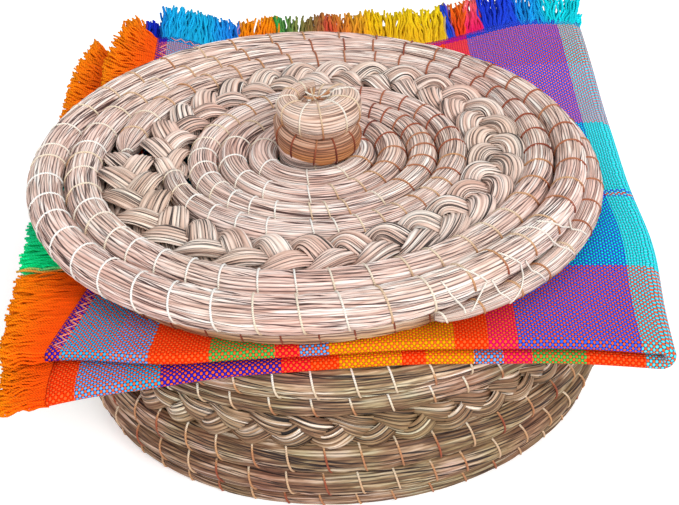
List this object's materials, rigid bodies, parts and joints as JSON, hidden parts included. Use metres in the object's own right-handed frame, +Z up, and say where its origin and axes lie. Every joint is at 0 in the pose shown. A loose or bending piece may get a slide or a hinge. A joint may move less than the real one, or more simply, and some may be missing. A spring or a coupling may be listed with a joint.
{
  "type": "lidded basket",
  "caption": "Round coiled grass basket with an openwork braid band, a flat coiled lid with a knob, and a fringed plaid cloth folded between them.",
  "frame": {"origin": "middle of the basket's underside, on the surface that it stands on", "axes": "+Z up, +X towards the napkin's fold, +Y towards the napkin's fringed back edge, which is the longest side"},
  "size_m": [0.2921, 0.3337, 0.1412],
  "materials": {
    "base_grass": "coiled dried grass, olive tan",
    "lid_grass": "coiled dried grass, pinkish tan",
    "braid_grass": "braided dried grass",
    "knob_grass": "coiled dried grass, golden tan",
    "plaid_cotton": "hand-woven plaid cotton",
    "fringe_yarn": "loose twisted yarn"
  },
  "bodies": {
    "basket": {"floor_coil": "base_grass", "wall_coil": "base_grass", "wall_braid_strand_1": "braid_grass", "wall_braid_strand_2": "braid_grass", "wall_braid_strand_3": "braid_grass", "rim_coil": "base_grass"},
    "cloth": {"folded_napkin": "plaid_cotton", "left_fringe_upper": "fringe_yarn", "left_fringe_lower": "fringe_yarn", "back_fringe_upper": "fringe_yarn", "back_fringe_lower": "fringe_yarn"},
    "lid": {"lid_seat_ring": "lid_grass", "lid_centre_coil": "lid_grass", "lid_braid_strand_1": "braid_grass", "lid_braid_strand_2": "braid_grass", "lid_braid_strand_3": "braid_grass", "lid_outer_coil": "lid_grass", "knob_core": "knob_grass", "knob_coil": "knob_grass"}
  },
  "joints": [
    {"name": "cloth_lift", "type": "slide", "parent": "basket", "child": "cloth", "axis": [0, 0, 1], "range_m": [0, 0.15]},
    {"name": "lid_lift", "type": "slide", "parent": "cloth", "child": "lid", "axis": [0, 0, 1], "range_m": [0, 0.15]}
  ]
}
